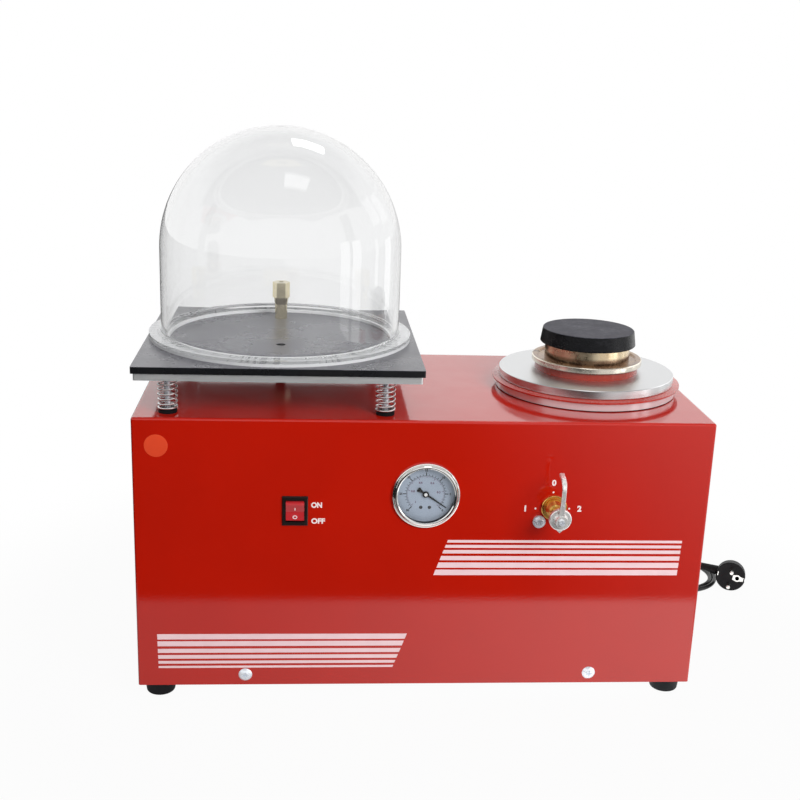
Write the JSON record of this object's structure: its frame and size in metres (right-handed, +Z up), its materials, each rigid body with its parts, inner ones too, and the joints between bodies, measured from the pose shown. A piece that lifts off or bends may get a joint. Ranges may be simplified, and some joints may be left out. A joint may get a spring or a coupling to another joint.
{
  "type": "vacuum casting machine",
  "caption": "Red cabinet with a sprung vibrating table under a clear bell jar, a casting chamber with perforated flask, gauge, rocker switch and lever valve.",
  "frame": {"origin": "on the bench under the middle of the machine, halfway between the front of the lever and the rear screws", "axes": "+X to the right seen from the front, +Y from the front panel to the back, +Z up"},
  "size_m": [0.7385, 0.4172, 0.5776],
  "materials": {
    "red_paint": "glossy powder coat with fine orange peel",
    "zinc_sheet": "zinc plated sheet",
    "black_rubber": "satin",
    "mat_rubber": "satin, lightly mottled",
    "zinc_screw": "bright zinc",
    "spring_steel": "bright drawn wire",
    "grey_nylon": "satin",
    "plate_aluminium": "fine turned or milled",
    "cast_aluminium": "as cast",
    "brass": "turned",
    "clear_acrylic": "clear, polished",
    "frosted_acrylic": "frosted edge",
    "red_silicone": "matte silicone",
    "flask_steel": "heat tinted stainless",
    "cap_rubber": "scuffed, dusty",
    "case_steel": "satin",
    "bezel_steel": "polished stainless",
    "lens_glass": "clear",
    "dial_enamel": "satin",
    "needle_black": "matte black",
    "lever_alloy": "cast and plated",
    "switch_black": "satin",
    "rocker_red": "translucent red",
    "cast_iron": "machined and painted",
    "motor_steel": "ground",
    "vane_composite": "carbon composite",
    "motor_paint": "satin",
    "fan_plastic": "satin",
    "hose_rubber": "satin",
    "cord_pvc": "satin",
    "plug_pvc": "satin",
    "pin_nickel": "nickel plated"
  },
  "bodies": {
    "cabinet": {"cabinet_cover": "red_paint", "base_pan": "zinc_sheet", "rubber_feet": "black_rubber", "foot_screws": "zinc_screw", "cover_screws": "zinc_screw", "spring_washers": "black_rubber", "guide_bushes": "grey_nylon", "chamber_seal": "black_rubber", "chamber_ring": "plate_aluminium", "ring_screws": "zinc_screw", "chamber_tub": "cast_aluminium", "chamber_gasket": "red_silicone", "gauge_case": "case_steel", "gauge_bezel": "bezel_steel", "gauge_lens": "lens_glass", "gauge_dial": "dial_enamel", "gauge_clamp": "zinc_sheet", "gauge_fitting": "brass", "valve_body": "brass", "valve_flange": "brass", "valve_bracket": "zinc_sheet", "panel_screw": "zinc_screw", "switch_housing": "switch_black", "pump_block": "cast_iron", "pump_cover": "cast_iron", "motor_case": "motor_paint", "fan_cover": "zinc_sheet", "pump_cradle": "zinc_sheet", "pump_mounts": "black_rubber", "pump_hose": "hose_rubber", "chamber_hose": "hose_rubber", "gauge_hose": "hose_rubber", "inner_leads": "cord_pvc", "cord_gland": "cord_pvc", "power_cord": "cord_pvc", "cord_coil": "cord_pvc", "plug_body": "plug_pvc", "plug_pins": "pin_nickel"},
    "table": {"table_springs": "spring_steel", "table_studs": "zinc_screw", "stud_nuts": "zinc_screw", "table_plate": "plate_aluminium", "table_mat": "mat_rubber", "vacuum_fitting": "brass", "table_hose": "hose_rubber"},
    "bell_jar": {"bell_jar_dome": "clear_acrylic", "bell_jar_ring": "frosted_acrylic"},
    "adapter": {"adapter_plate": "plate_aluminium", "flask_gasket": "red_silicone"},
    "flask": {"flask": "flask_steel"},
    "flask_base": {"rubber_cap": "cap_rubber"},
    "valve_handle": {"valve_plug": "brass", "valve_lever": "lever_alloy", "lever_screw": "zinc_screw"},
    "switch_rocker": {"rocker": "rocker_red"},
    "pointer": {"gauge_needle": "needle_black"},
    "pump_shaft": {"pump_rotor": "motor_steel", "pump_vanes": "vane_composite", "motor_shaft": "motor_steel", "motor_fan": "fan_plastic"}
  },
  "joints": [
    {"name": "table_bounce", "type": "slide", "parent": "cabinet", "child": "table", "axis": [0, 0, 1], "range_m": [-0.008, 0.0002], "stiffness_N_per_m": 8000, "springref_m": 0.0045, "deforming": ["table_springs", "table_hose"]},
    {"name": "bell_jar_lift", "type": "slide", "parent": "table", "child": "bell_jar", "axis": [0, 0, 1], "range_m": [0, 0.25]},
    {"name": "adapter_lift", "type": "slide", "parent": "cabinet", "child": "adapter", "axis": [0, 0, 1], "range_m": [0, 0.2]},
    {"name": "flask_lift", "type": "slide", "parent": "adapter", "child": "flask", "axis": [0, 0, 1], "range_m": [0, 0.2]},
    {"name": "flask_base_pull", "type": "slide", "parent": "flask", "child": "flask_base", "axis": [0, 0, 1], "range_m": [0, 0.06]},
    {"name": "valve_turn", "type": "hinge", "parent": "cabinet", "child": "valve_handle", "pos_m": [0.1301, -0.116, 0.2145], "axis": [0, 1, 0], "range_deg": [-90, 90]},
    {"name": "rocker_tip", "type": "hinge", "parent": "cabinet", "child": "switch_rocker", "pos_m": [-0.1308, -0.113, 0.2095], "axis": [-1, 0, 0], "range_deg": [0, 20]},
    {"name": "pointer_turn", "type": "hinge", "parent": "cabinet", "child": "pointer", "pos_m": [-0.0004, -0.116, 0.2269], "axis": [0, -1, 0], "range_deg": [-11, 259], "stiffness_Nm_per_rad": 0.0001},
    {"name": "pump_spin", "type": "hinge", "parent": "cabinet", "child": "pump_shaft", "pos_m": [0, 0.034, 0.092], "axis": [1, 0, 0], "continuous": true}
  ]
}
